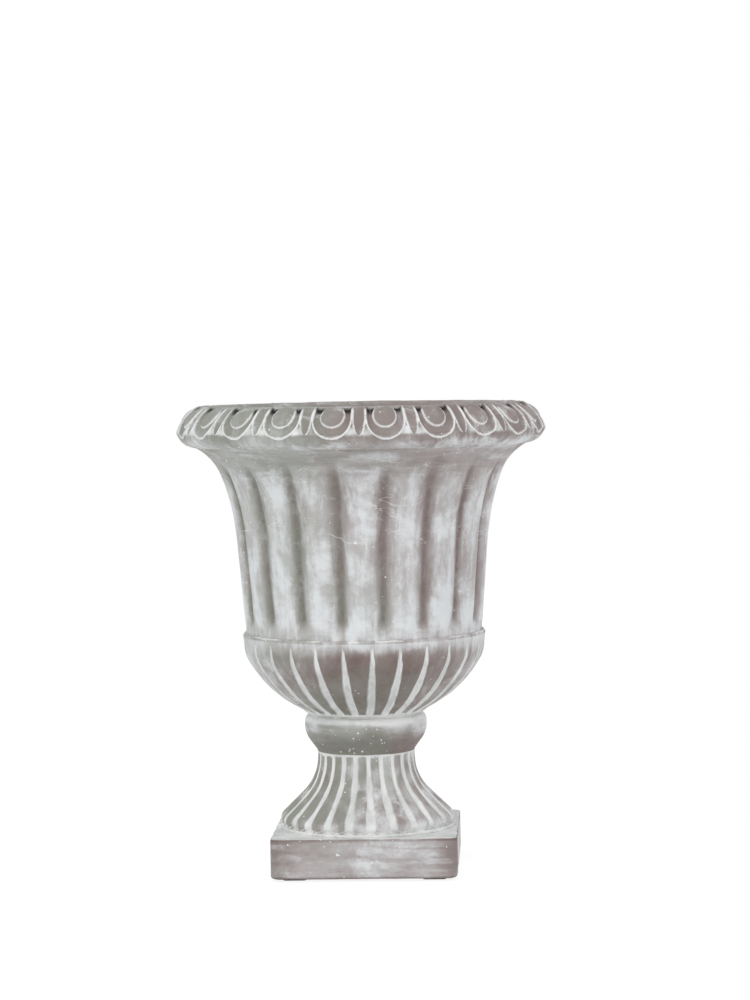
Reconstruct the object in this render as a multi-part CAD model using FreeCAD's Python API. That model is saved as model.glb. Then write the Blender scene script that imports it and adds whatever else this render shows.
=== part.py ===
import FreeCAD, Part
import math
import os

# Garden urn cast in cement: a bell-shaped bowl that is bolted to a pedestal on a square plinth.
# Millimetres. The origin is at the centre of the footprint on the ground, +Z is up, and the
# plinth's front faces -Y. Angles round the axis count from the front towards +X.

V = FreeCAD.Vector
TOLERANCE = 1e-6

# ---------------------------------------------------------------- driving dimensions
# feet and plinth
PAD_THICKNESS = 2.0
PAD_SIZE = 20.0
PAD_INSET = 10.0             # plinth side to pad
PLINTH_WIDTH = 159.0
PLINTH_HEIGHT = 34.8
PLINTH_CORNER = 7.0          # worn upright edges
PLINTH_LOWER_EDGE = 5.0
PLINTH_UPPER_EDGE = 3.0

# pedestal, from the plinth up
LIP_HEIGHT = 2.4
LIP_OVERHANG = 1.4           # lip beyond the ends of the reeds
FOOT_RADIUS = 75.6
NOSE_HEIGHT = 9.8            # rounded ends of the reeds
NOSE_DRAW = 2.2              # how far the top of the nose draws in
NOSE_FOOT_DRAW = 0.5         # and its foot
NOSE_WIDEST_SHARE = 0.45     # share of the nose's height at which it is widest
REED_COUNT = 24
REED_TURN = 4.8              # a groove between two reeds lies here
REED_FLAT_COUNT = 4
REED_DEPTH_SHARE = 0.15      # depth of a groove as a share of the reed's width
COVE_SLOPE = 46.0            # straight lower part of the cove, degrees from upright
COVE_SLOPE_LENGTH = 24.5
COVE_RADIUS = 44.5
NECK_HEIGHT = 4.8
COLLAR_STEP = 0.3            # round moulding starts this far outside the neck
MOULDING_RISE = 36.0         # slope of its underside, degrees from upright
MOULDING_HOLLOW = 3.0        # hollow round under that slope
MOULDING_SLOPE = 9.6
MOULDING_BELLY = 23.2        # full round above it
MOULDING_LEAN = 12.0         # the belly ends leaning in by this angle
MOULDING_SHOULDER = 4.5      # round top edge

# bowl
BEDDING_THICKNESS = 2.5
BED_OVERHANG = 0.3           # bed reaches this far past the flat of its seat
CUP_FOOT_RADIUS = 52.2
CUP_FOOT_SLOPE = 42.0        # cup's surface at its foot, degrees from upright
CUP_FOOT_ROUND = 12.0
CUP_FOOT_TURN = 18.0
CUP_FOOT_LENGTH = 8.4        # straight stretch over the foot
CUP_LOWER_RADIUS = 103.4
CUP_UPPER_RADIUS = 30.9
BAND_HEIGHT = 8.4            # plain band over the gadroons
BAND_FLARE = 0.9             # its top edge stands out this far
GADROON_COUNT = 27
GADROON_TURN = 6.3
GADROON_FLAT_COUNT = 3
GADROON_DEPTH = 2.6
GADROON_POINT = 24.0         # a groove reaches its full depth this far below its point
LEDGE_WIDTH = 1.6            # from the foot of the band to the wall
WALL_TAPER = 4.7             # degrees from upright
WALL_RUN = 83.0
SWEEP_RADIUS = 205.0
SWEEP_TURN = 16.3
FLARE_RADIUS = 43.0
FLARE_TURN = 44.5
LOBE_COUNT = 18
LOBE_TURN = 2.5
LOBE_FLAT_COUNT = 5
LOBE_DEPTH = 4.6
LOBE_FOOT = 7.0              # plain foot under the lobes
LOBE_ROUND = 9.0             # rounded lower end of a lobe
LOBE_FADE = (1.0, 0.9, 0.5, 0.15, 0.0, 0.0)    # shares of the depth up the sweep and the flare
RIM_OVERHANG = 14.8
RIM_UNDERSIDE = 12.8
RIM_UNDERSIDE_BULGE = 4.9    # outwards, at the middle of the underside's height
RIM_FACE_HEIGHT = 22.0
RIM_FACE_DRAW = 18.4
RIM_FACE_BULGE = 3.8         # outwards, at the middle of the face's height
CREST_WIDTH = 4.0
CREST_RISE = 0.5             # from the crest's outer to its inner edge
QUIRK = 0.6                  # rim stands proud of the wall's last line

# egg and dart on the rim; a drop is measured down from the crest
EGG_COUNT = 22
EGG_TURN = 2.3               # a dart between two eggs lies here
EGG_RADIUS = 9.7
EGG_DROP = 6.1               # of the egg's centre
EGG_DOME = 3.6               # egg over the channel round it
EGG_SHOULDER_SHARE = 0.62    # share of the egg's radius at which its dome is folded
CHANNEL_DEPTH = 2.8
FRAME_HALF_WIDTH = 15.9      # of the U-shaped frame round an egg, at its ridge
FRAME_DROP = 8.0             # the frame's sides are upright down to here
FRAME_BOTTOM = 25.4
FRAME_RIDGE_WIDTH = 1.3      # from the channel to the ridge
FRAME_RIDGE_HEIGHT = 0.4
DART_HALF_WIDTH = 4.6
DART_SHOULDER = 13.0         # drop down to which a dart keeps its width
DART_TIP = 22.5
DART_HOLLOW = 0.8            # its middle lies this deep
SPANDREL_DEPTH = 1.1         # ground between frame and dart
FIELD_BOTTOM = 27.5          # plain below this

# hollow of the bowl
WALL_THICKNESS = 15.0
FLOOR_THICKNESS = 20.0
FLOOR_CORNER = 47.0
MOUTH_FLARE_RADIUS = 110.0
MOUTH_FLARE_TURN = 15.0
MOUTH_RETURN_RADIUS = 40.0
MOUTH_EDGE = 4.0
MOUTH_EDGE_ROUND = 0.8       # bulge of the worn edge of the mouth
TURNED_FLAT_COUNT = 48            # flats round a large turned surface

# hollow of the pedestal
BORE_RADIUS = 24.0
SPIGOT_CLEARANCE = 1.0
SPIGOT_LENGTH = 8.0
SHOULDER_HEIGHT = 70.0       # height over the ground of the step under the bore
SHOULDER_RADIUS = 36.0
HOLLOW_WALL = 20.0           # plinth side to the hollow
HOLLOW_DRAFT = 4.0

# drain holes
DRAIN_RADIUS = 3.5
DRAIN_COUNT = 3
DRAIN_CIRCLE = 17.5

CUT_MARGIN = 1.0             # a cutting body reaches this far past what it cuts

# fastening, M8
ROD_RADIUS = 4.0
ROD_HOLE_CLEARANCE = 1.0
ROD_PROTRUSION = 5.0
NUT_ACROSS_FLATS = 13.0
NUT_HEIGHT = 6.5
WASHER_RADIUS = 12.0
WASHER_THICKNESS = 2.0
SEAL_THICKNESS = 2.0
LOWER_WASHER_RADIUS = 8.0
LOWER_WASHER_THICKNESS = 1.6
BAR_WIDTH = 20.0
BAR_THICKNESS = 5.0
BAR_CLEARANCE = 3.0
THREAD_CLEARANCE = 0.3       # washers and bar round the rod
NUT_CLEARANCE = 0.05
WASHER_FLAT_COUNT = 32            # flats round a washer


# ---------------------------------------------------------------- outlines
def upward_line(start, heading, legs):
    """Radius and height at points on a line of legs that meet without a corner.

    The heading is in degrees from upright, positive outwards. A leg is (length, 0, 1) for a
    straight one, or (radius, turn, steps) for a round one."""
    r, z = start
    points = [(r, z)]
    for size, turn, steps in legs:
        for _ in range(steps):
            before = math.radians(heading)
            if turn == 0:
                r += size * math.sin(before)
                z += size * math.cos(before)
            else:
                heading += turn / steps
                after = math.radians(heading)
                signed = math.copysign(size, turn)
                r += signed * (math.cos(before) - math.cos(after))
                z += signed * (math.sin(after) - math.sin(before))
            points.append((r, z))
    return points


def polar(radius, angle, height):
    """Point at an angle in degrees from the front, positive towards +X."""
    a = math.radians(angle - 90.0)
    return V(radius * math.cos(a), radius * math.sin(a), height)


def plain_ring(radius, height, flats, turn=0.0):
    """Corners of a regular ring, the first at the turn angle."""
    return [polar(radius, turn + k * 360.0 / flats, height) for k in range(flats)]


def scalloped_ring(radius, height, count, depth, turn, flats):
    """Corners of a ring of equal convex rounds, each of a few flats, with a cusp at the turn.

    The crests lie on the radius and the cusps deeper by the depth."""
    half = math.pi / count
    cusp_x = (radius - depth) * math.cos(half)
    cusp_y = (radius - depth) * math.sin(half)
    centre = (radius ** 2 - cusp_x ** 2 - cusp_y ** 2) / (2 * (radius - cusp_x))
    span = math.atan2(cusp_y, cusp_x - centre)
    corners = []
    for k in range(count):
        crest = turn + (k + 0.5) * 360.0 / count
        for j in range(flats):
            swing = span * (2.0 * j / flats - 1)
            x = centre + (radius - centre) * math.cos(swing)
            y = (radius - centre) * math.sin(swing)
            corners.append(polar(math.hypot(x, y), crest + math.degrees(math.atan2(y, x)), height))
    return corners


def flat(*corners):
    return Part.Face(Part.makePolygon(corners + corners[:1]))


def folded(*corners):
    """Flats between four corners: one if they lie in a plane, else two along the shorter diagonal.

    Where two corners meet, one triangle is left, and where two pairs meet, nothing."""
    apart = [p for p, q in zip(corners, corners[1:] + corners[:1]) if (p - q).Length > TOLERANCE]
    if len(apart) < 4:
        return [flat(*apart)] if len(apart) == 3 else []
    a, b, c, d = corners
    if abs((b - a).cross(c - a).normalize().dot(d - a)) < TOLERANCE:
        return [flat(a, b, c, d)]
    if (c - a).Length < (d - b).Length:
        return [flat(a, b, c), flat(a, c, d)]
    return [flat(b, c, d), flat(b, d, a)]


def band(low, high):
    """Flats from one ring of corners to another."""
    faces = []
    for k in range(len(low)):
        faces += folded(low[k - 1], low[k], high[k], high[k - 1])
    return faces


def skin(rings):
    """Solid with flats from each ring of corners to the next one above it."""
    faces = [flat(*rings[0]), flat(*rings[-1])]
    for low, high in zip(rings, rings[1:]):
        faces += band(low, high)
    return Part.Solid(Part.Shell(faces))


def turned(line, flats, turn=0.0):
    """Solid turned about Z under a line of (radius, height) that only rises."""
    return skin([plain_ring(r, z, flats, turn) for r, z in line])


def scalloped_body(sections, count, turn, flats):
    """Solid through scalloped rings; a section is (radius, height, depth)."""
    return skin([scalloped_ring(r, z, count, depth, turn, flats) for r, z, depth in sections])


def disc(radius, low, high):
    return Part.makeCylinder(radius, high - low, V(0, 0, low))


# ---------------------------------------------------------------- levels, from the ground up
plinth_top = PAD_THICKNESS + PLINTH_HEIGHT
lip_top = plinth_top + LIP_HEIGHT
cove = upward_line((FOOT_RADIUS - NOSE_DRAW, lip_top + NOSE_HEIGHT), -COVE_SLOPE,
                   [(COVE_SLOPE_LENGTH, 0, 1), (COVE_RADIUS, COVE_SLOPE, 3), (NECK_HEIGHT, 0, 1)])
neck_radius, neck_top = cove[-1]
moulding = upward_line((neck_radius + COLLAR_STEP, neck_top), 0.0,
                       [(MOULDING_HOLLOW, MOULDING_RISE, 1), (MOULDING_SLOPE, 0, 1),
                        (MOULDING_BELLY, -MOULDING_RISE - MOULDING_LEAN, 4),
                        (MOULDING_SHOULDER, MOULDING_LEAN - 90.0, 2)])
seat_radius, pedestal_top = moulding[-1]

bowl_bottom = pedestal_top + BEDDING_THICKNESS
cup_turn = (CUP_FOOT_SLOPE + CUP_FOOT_TURN) / 2
cup = upward_line((CUP_FOOT_RADIUS, bowl_bottom), CUP_FOOT_SLOPE,
                  [(CUP_FOOT_ROUND, CUP_FOOT_TURN, 1), (CUP_FOOT_LENGTH, 0, 1),
                   (CUP_LOWER_RADIUS, -cup_turn, 3), (CUP_UPPER_RADIUS, -cup_turn, 2)])
band_radius, gadroon_top = cup[-1]
ledge_top = gadroon_top + BAND_HEIGHT
waist_radius = band_radius - LEDGE_WIDTH
wall = upward_line((waist_radius, ledge_top), WALL_TAPER,
                   [(WALL_RUN, 0, 1), (SWEEP_RADIUS, SWEEP_TURN, 2), (FLARE_RADIUS, FLARE_TURN, 4)])
wall_end, wall_top = wall[-1]
rim_radius = wall_end + RIM_OVERHANG
rim_widest = wall_top + RIM_UNDERSIDE
crest_radius = rim_radius - RIM_FACE_DRAW
crest_height = rim_widest + RIM_FACE_HEIGHT
rim_top = crest_height + CREST_RISE

floor_top = bowl_bottom + FLOOR_THICKNESS
spigot_radius = BORE_RADIUS - SPIGOT_CLEARANCE
rod_hole_radius = ROD_RADIUS + ROD_HOLE_CLEARANCE
passing_radius = ROD_RADIUS + THREAD_CLEARANCE
bar_length = 2 * (SHOULDER_RADIUS - BAR_CLEARANCE)


def rounded_between(a, b, bulge, steps):
    """Points after a up to b on a shallow round that stands out by the bulge at its middle."""
    length = math.dist(a, b)
    out = ((b[1] - a[1]) / length, (a[0] - b[0]) / length)
    points = []
    for k in range(1, steps + 1):
        share = k / steps
        stand = 4 * bulge * share * (1 - share)
        points.append((a[0] + share * (b[0] - a[0]) + stand * out[0],
                       a[1] + share * (b[1] - a[1]) + stand * out[1]))
    return points


# ---------------------------------------------------------------- cement castings
def make_pedestal():
    half = PLINTH_WIDTH / 2
    plinth = Part.makeBox(PLINTH_WIDTH, PLINTH_WIDTH, PLINTH_HEIGHT, V(-half, -half, PAD_THICKNESS))
    upright = [e for e in plinth.Edges if e.BoundBox.ZLength > PLINTH_HEIGHT / 2]
    plinth = plinth.makeFillet(PLINTH_CORNER, upright)
    lower = [e for e in plinth.Edges if e.BoundBox.ZMax < PAD_THICKNESS + 0.01]
    plinth = plinth.makeChamfer(PLINTH_LOWER_EDGE, lower)
    upper = [e for e in plinth.Edges if e.BoundBox.ZMin > plinth_top - 0.01]
    plinth = plinth.makeChamfer(PLINTH_UPPER_EDGE, upper)
    lip = turned([(FOOT_RADIUS + LIP_OVERHANG, plinth_top - CUT_MARGIN),
                  (FOOT_RADIUS + LIP_OVERHANG, lip_top)],
                 2 * REED_COUNT, REED_TURN)

    # the reeds' rounded ends, then the cove up to the neck
    outline = [(FOOT_RADIUS - NOSE_FOOT_DRAW, lip_top),
               (FOOT_RADIUS, lip_top + NOSE_WIDEST_SHARE * NOSE_HEIGHT)] + cove
    reed_share = REED_DEPTH_SHARE * 2 * math.pi / REED_COUNT
    reed_sections = [(r, z, reed_share * r) for r, z in outline]
    reeds = scalloped_body(reed_sections, REED_COUNT, REED_TURN, REED_FLAT_COUNT)
    torus = turned(moulding, TURNED_FLAT_COUNT)

    mouth = half - HOLLOW_WALL
    hollow = turned([(mouth, PAD_THICKNESS - CUT_MARGIN), (mouth - HOLLOW_DRAFT, plinth_top - HOLLOW_DRAFT),
                     (SHOULDER_RADIUS, SHOULDER_HEIGHT)], TURNED_FLAT_COUNT)
    bore = disc(BORE_RADIUS, SHOULDER_HEIGHT - CUT_MARGIN, pedestal_top + CUT_MARGIN)
    return plinth.fuse([lip, reeds, torus]).cut([hollow, bore])


def bowl_hollow():
    corner_reach = upward_line((0, 0), 90.0, [(FLOOR_CORNER, WALL_TAPER - 90.0, 1)])[-1][0]
    floor_radius = waist_radius - WALL_THICKNESS - corner_reach
    corner = upward_line((floor_radius, floor_top), 90.0, [(FLOOR_CORNER, WALL_TAPER - 90.0, 4)])
    run = WALL_RUN - (corner[-1][1] - ledge_top)
    upper = upward_line(corner[-1], WALL_TAPER,
                        [(run, 0, 1), (SWEEP_RADIUS + WALL_THICKNESS, SWEEP_TURN, 2),
                         (MOUTH_FLARE_RADIUS, MOUTH_FLARE_TURN, 1),
                         (MOUTH_RETURN_RADIUS, -(WALL_TAPER + SWEEP_TURN + MOUTH_FLARE_TURN), 2)])
    mouth_radius, mouth_height = upper[-1]
    edge_low = max(rim_top - MOUTH_EDGE, mouth_height + 0.5)
    edge = rounded_between((mouth_radius, edge_low), (mouth_radius + MOUTH_EDGE, edge_low + MOUTH_EDGE),
                           -MOUTH_EDGE_ROUND, 2)
    line = corner + upper[1:] + [(mouth_radius, edge_low)] + edge
    line.append((edge[-1][0] + MOUTH_EDGE, edge[-1][1] + MOUTH_EDGE))
    return turned(line, TURNED_FLAT_COUNT)


def rim_point(share, drop, relief):
    """Point on the rim at a share of the units round it and a drop below the crest."""
    if drop < RIM_FACE_HEIGHT:
        part = drop / RIM_FACE_HEIGHT
        radius = crest_radius + RIM_FACE_DRAW * part + 4 * RIM_FACE_BULGE * part * (1 - part)
    else:
        part = (drop - RIM_FACE_HEIGHT) / RIM_UNDERSIDE
        radius = rim_radius - (RIM_OVERHANG - QUIRK) * part + 4 * RIM_UNDERSIDE_BULGE * part * (1 - part)
    return polar(radius + relief, EGG_TURN + share * 360.0 / EGG_COUNT, crest_height - drop)


def egg_relief(side, drop):
    share = math.hypot(side, drop - EGG_DROP) / EGG_RADIUS
    return EGG_DOME * math.sqrt(max(0.0, 1 - share ** 2)) - CHANNEL_DEPTH


def half_egg(scale):
    """Points (side, drop) from the crest round to the bottom of an egg scaled about its centre."""
    radius = scale * EGG_RADIUS
    crest = scale * math.sqrt(EGG_RADIUS ** 2 - EGG_DROP ** 2)
    round_part = [(radius * math.cos(a), EGG_DROP + radius * math.sin(a))
                  for a in map(math.radians, (0.0, 35.0, 65.0, 90.0))]
    return [(crest, 0.0)] + round_part


def half_frame(inset):
    """Points (side, drop) from the crest round to the bottom of the U-shaped frame."""
    width = FRAME_HALF_WIDTH - inset
    reach = FRAME_BOTTOM - inset - FRAME_DROP
    round_part = [(width * math.cos(a), FRAME_DROP + reach * math.sin(a))
                  for a in map(math.radians, (0.0, 35.0, 65.0, 90.0))]
    return [(width, 0.0)] + round_part


def egg_and_dart_unit():
    """Lines of (side, drop, relief) from the middle of an egg out to the darts on both sides.

    Each line runs from the crest on the left round under the egg to the crest on the right."""
    half_pitch = math.pi * (rim_radius + crest_radius) / 2 / EGG_COUNT
    halves = [[(0.0, 0.0, egg_relief(0.0, 0.0))] + [(0.0, EGG_DROP, egg_relief(0.0, EGG_DROP))] * 4]
    halves += [[(s, d, egg_relief(s, d)) for s, d in half_egg(scale)] for scale in (EGG_SHOULDER_SHARE, 1.0)]
    halves.append([(s, d, -CHANNEL_DEPTH) for s, d in half_frame(FRAME_RIDGE_WIDTH)])
    halves.append([(s, d, FRAME_RIDGE_HEIGHT) for s, d in half_frame(0.0)])
    dart_side = half_pitch - DART_HALF_WIDTH
    low = [(half_pitch, DART_TIP), (half_pitch, FIELD_BOTTOM), (0.0, FIELD_BOTTOM)]
    dart = [(dart_side, 0.0), (dart_side, DART_SHOULDER)] + low
    spine = [(half_pitch, 0.0), (half_pitch, DART_SHOULDER)] + low
    spandrel = [((s + t) / 2, (d + e) / 2) for (s, d), (t, e) in zip(half_frame(0.0), dart)]
    depths = (SPANDREL_DEPTH, SPANDREL_DEPTH, SPANDREL_DEPTH, SPANDREL_DEPTH / 2, 0.0)
    halves.append([(s, d, -depth) for (s, d), depth in zip(spandrel, depths)])
    halves.append([(s, d, 0.0) for s, d in dart])
    halves.append([(s, d, -DART_HOLLOW if d < DART_TIP else 0.0) for s, d in spine])
    return [[(0.5 - s / half_pitch / 2, d, relief) for s, d, relief in half]
            + [(0.5 + s / half_pitch / 2, d, relief) for s, d, relief in half[-2::-1]] for half in halves]


def make_rim():
    """Ring with the eggs and darts on its face; the bowl's hollow is cut out of it later."""
    foot_drop = RIM_FACE_HEIGHT + RIM_UNDERSIDE
    underside = [[rim_point(k / 2, drop, 0.0) for k in range(2 * EGG_COUNT)]
                 for drop in (FIELD_BOTTOM, (FIELD_BOTTOM + foot_drop) / 2, foot_drop)]
    inner = plain_ring(crest_radius - CREST_WIDTH, rim_top, EGG_COUNT, EGG_TURN)
    faces = [flat(*inner), flat(*underside[-1])]
    for upper, lower in zip(underside, underside[1:]):
        faces += band(lower, upper)
    unit = egg_and_dart_unit()
    for k in range(EGG_COUNT):
        lines = [[rim_point(k + share, drop, relief) for share, drop, relief in line] for line in unit]
        for near, far in zip(lines, lines[1:]):
            for j in range(1, len(near)):
                faces += folded(near[j - 1], near[j], far[j], far[j - 1])
        crest = [line[0] for line in reversed(lines)] + [line[-1] for line in lines[1:]]
        left, right, middle = inner[k], inner[(k + 1) % EGG_COUNT], len(lines) - 1
        faces += [flat(left, a, b) for a, b in zip(crest[:middle], crest[1:])]
        faces.append(flat(left, crest[middle], right))
        faces += [flat(right, a, b) for a, b in zip(crest[middle:], crest[middle + 1:])]
    return Part.Solid(Part.Shell(faces))


def make_bowl():
    # gadroons: each groove starts as a point under the band and deepens towards the foot
    gadroons = [(r, z, GADROON_DEPTH * min(1.0, (gadroon_top - z) / GADROON_POINT)) for r, z in cup]
    gadroons.append((band_radius + BAND_FLARE, ledge_top, 0.0))
    cup_body = scalloped_body(gadroons, GADROON_COUNT, GADROON_TURN, GADROON_FLAT_COUNT)

    # lobes: a plain foot, a rounded lower end, full depth up the wall, then a fade into the flare
    foot = upward_line((waist_radius, ledge_top), WALL_TAPER, [(LOBE_FOOT, 0, 1), (LOBE_ROUND, 0, 1)])
    stations = foot + wall[1:]
    shares = (0.0, 0.0, 1.0, 1.0) + LOBE_FADE
    lobes = [(r, z, LOBE_DEPTH * share) for (r, z), share in zip(stations, shares)]
    lobed_wall = scalloped_body(lobes, LOBE_COUNT, LOBE_TURN + 180.0 / LOBE_COUNT, LOBE_FLAT_COUNT)

    spigot = disc(spigot_radius, bowl_bottom - SPIGOT_LENGTH, bowl_bottom + CUT_MARGIN)
    rod_hole = disc(rod_hole_radius, bowl_bottom - SPIGOT_LENGTH - CUT_MARGIN, floor_top + CUT_MARGIN)
    drains = []
    for k in range(DRAIN_COUNT):
        hole = disc(DRAIN_RADIUS, bowl_bottom - SPIGOT_LENGTH - CUT_MARGIN, floor_top + CUT_MARGIN)
        hole.translate(V(0, DRAIN_CIRCLE, 0))
        hole.rotate(V(0, 0, 0), V(0, 0, 1), k * 360.0 / DRAIN_COUNT)
        drains.append(hole)
    return cup_body.fuse([lobed_wall, make_rim(), spigot]).cut([bowl_hollow(), rod_hole] + drains)


def flat_ring(outer, inner, low, thickness, flats):
    body, hole = [turned([(r, low), (r, low + thickness)], flats) for r in (outer, inner)]
    return body.cut(hole)


def make_bedding_ring():
    return flat_ring(seat_radius + BED_OVERHANG, BORE_RADIUS, pedestal_top, BEDDING_THICKNESS,
                     TURNED_FLAT_COUNT)


# ---------------------------------------------------------------- fastening
def washer(radius, low, thickness):
    return flat_ring(radius, passing_radius, low, thickness, WASHER_FLAT_COUNT)


def make_clamp_bar():
    bar = Part.makeBox(bar_length, BAR_WIDTH, BAR_THICKNESS, V(-bar_length / 2, -BAR_WIDTH / 2, bar_low))
    return bar.cut(disc(passing_radius, bar_low - CUT_MARGIN, bar_low + BAR_THICKNESS + CUT_MARGIN))


def nut(low):
    corner = NUT_ACROSS_FLATS / math.sqrt(3.0)
    body = turned([(corner, low), (corner, low + NUT_HEIGHT)], 6)
    return body.cut(disc(ROD_RADIUS + NUT_CLEARANCE, low - CUT_MARGIN, low + NUT_HEIGHT + CUT_MARGIN))


def make_pads():
    reach = PLINTH_WIDTH / 2 - PAD_INSET - PAD_SIZE / 2
    pads = [Part.makeBox(PAD_SIZE, PAD_SIZE, PAD_THICKNESS,
                         V(sx * reach - PAD_SIZE / 2, sy * reach - PAD_SIZE / 2, 0))
            for sx in (-1, 1) for sy in (-1, 1)]
    return Part.makeCompound(pads)


# ---------------------------------------------------------------- assembly
seal_low = floor_top
washer_low = seal_low + SEAL_THICKNESS
upper_nut_low = washer_low + WASHER_THICKNESS
rod_top = upper_nut_low + NUT_HEIGHT + ROD_PROTRUSION
bar_low = SHOULDER_HEIGHT - BAR_THICKNESS
lower_washer_low = bar_low - LOWER_WASHER_THICKNESS
lower_nut_low = lower_washer_low - NUT_HEIGHT
rod_bottom = lower_nut_low - ROD_PROTRUSION

nodes = {
    "bowl": make_bowl(),
    "pedestal": make_pedestal(),
    "bedding_ring": make_bedding_ring(),
    "tie_rod": disc(ROD_RADIUS, rod_bottom, rod_top),
    "seal_washer": washer(WASHER_RADIUS, seal_low, SEAL_THICKNESS),
    "floor_washer": washer(WASHER_RADIUS, washer_low, WASHER_THICKNESS),
    "upper_nut": nut(upper_nut_low),
    "clamp_bar": make_clamp_bar(),
    "lower_washer": washer(LOWER_WASHER_RADIUS, lower_washer_low, LOWER_WASHER_THICKNESS),
    "lower_nut": nut(lower_nut_low),
    "foot_pads": make_pads(),
}

os.makedirs("parts", exist_ok=True)
for name, shape in nodes.items():
    shape.exportStep("parts/" + name + ".step")
    box = shape.BoundBox
    print("%-14s solids %d valid %s volume %.0f  z %.2f to %.2f  widest %.2f" % (
        name, len(shape.Solids), shape.isValid(), shape.Volume, box.ZMin, box.ZMax, box.XLength))
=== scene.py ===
import math

import bmesh
import bpy
from mathutils import Matrix, Vector, noise


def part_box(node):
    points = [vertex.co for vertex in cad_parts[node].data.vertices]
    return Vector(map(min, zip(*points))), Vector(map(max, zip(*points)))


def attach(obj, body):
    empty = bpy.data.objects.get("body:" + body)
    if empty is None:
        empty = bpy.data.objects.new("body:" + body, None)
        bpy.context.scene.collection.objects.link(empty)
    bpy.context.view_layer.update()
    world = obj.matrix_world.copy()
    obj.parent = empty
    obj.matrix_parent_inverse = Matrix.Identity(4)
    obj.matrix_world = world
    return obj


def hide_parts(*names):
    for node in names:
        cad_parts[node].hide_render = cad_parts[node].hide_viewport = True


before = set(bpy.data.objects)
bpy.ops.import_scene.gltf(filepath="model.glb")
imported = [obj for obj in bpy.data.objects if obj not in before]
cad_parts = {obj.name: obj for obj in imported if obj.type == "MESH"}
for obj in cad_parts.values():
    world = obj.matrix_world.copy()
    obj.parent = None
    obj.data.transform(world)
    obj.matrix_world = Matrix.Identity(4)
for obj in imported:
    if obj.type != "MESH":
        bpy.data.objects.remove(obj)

bl_info = {
    "name": "Garden Urn",
    "version": (1, 0, 0),
    "blender": (4, 5, 0),
    "location": "3D View > Sidebar > Urn",
    "description": "Builds a whitewashed cement urn with an egg-and-dart rim, lobes, gadroons and reeds",
    "category": "Add Mesh",
}

MM = 0.001
SEAM = 0.002 * MM            # points closer than this are one
ROOT = "root"
UP = Vector((0, 0, 1))

BOWL_LOW, BOWL_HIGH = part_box("bowl")
PEDESTAL_LOW, PEDESTAL_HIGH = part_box("pedestal")
BED_LOW, BED_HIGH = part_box("bedding_ring")


# ---------------------------------------------------------------- numbers and outlines
def clamp(value, low=0.0, high=1.0):
    return max(low, min(high, value))


def lerp(a, b, share):
    return a + (b - a) * share


def smooth(value, low, high):
    """0 below low, 1 above high and a soft step between them; low may be the larger one."""
    share = clamp((value - low) / (high - low))
    return share * share * (3 - 2 * share)


def soft_min(a, b, rounding):
    """The lesser of two values, with the corner where they meet rounded off."""
    share = clamp(0.5 + 0.5 * (b - a) / rounding)
    return lerp(b, a, share) - rounding * share * (1 - share)


def across(angle, count, centre):
    """Where an angle lies across its unit, from -0.5 to 0.5, of a pattern centred at centre."""
    share = (angle - centre) * count / 360.0
    return share - math.floor(share + 0.5)


def linear(red, green, blue):
    """Scene-linear colour of a paint named by its 0 to 255 screen values."""
    shares = [c / 255.0 for c in (red, green, blue)]
    return tuple(s / 12.92 if s <= 0.04045 else ((s + 0.055) / 1.055) ** 2.4 for s in shares)


def legs_line(start, heading, legs, spacing):
    """Points (radius, height) on a line of legs that meet without a corner.

    The heading is in degrees from upright, positive outwards. A leg is (length, 0) if it is
    straight and (radius, turn) if it is round."""
    r, z = start
    points = [(r, z)]
    for size, turn in legs:
        length = size * abs(math.radians(turn)) if turn else size
        steps = max(1, round(length / spacing))
        for _ in range(steps):
            before = math.radians(heading)
            if turn:
                heading += turn / steps
                after = math.radians(heading)
                signed = math.copysign(size, turn)
                r += signed * (math.cos(before) - math.cos(after))
                z += signed * (math.sin(after) - math.sin(before))
            else:
                r += size / steps * math.sin(before)
                z += size / steps * math.cos(before)
            points.append((r, z))
    return points


def beside(point, out, up):
    """The point that lies so many millimetres outwards and upwards of another one."""
    return point[0] + out * MM, point[1] + up * MM


def straight(a, b, spacing):
    """Points after a up to b."""
    steps = max(1, round(math.dist(a, b) / spacing))
    return [(lerp(a[0], b[0], k / steps), lerp(a[1], b[1], k / steps)) for k in range(1, steps + 1)]


def bulged(a, b, bulge, spacing):
    """Points after a up to b on a shallow round that stands out by the bulge at its middle."""
    length = math.dist(a, b)
    out = ((b[1] - a[1]) / length, (a[0] - b[0]) / length)
    steps = max(2, round(length / spacing))
    points = []
    for k in range(1, steps + 1):
        share = k / steps
        stand = 4 * bulge * share * (1 - share)
        r, z = lerp(a[0], b[0], share), lerp(a[1], b[1], share)
        points.append((r + stand * out[0], z + stand * out[1]))
    return points


# ---------------------------------------------------------------- meshes
# Paint marks on the vertices, from 0 to 1: paint left in a groove, painted shade in valleys, recesses and
# under edges together with barer cement on the cup, rubbed rib with painted highlights on some edges,
# painted shade in deep pits, thicker wash with painted highlights on the lobe crests and the moulding's
# top (below 0 for barer cement), brush strokes lying level, spatter.
ATTRIBUTES = ("groove", "shade_and_bare", "rib_and_highlight", "pit_shade", "wash", "level", "spatter")


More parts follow.
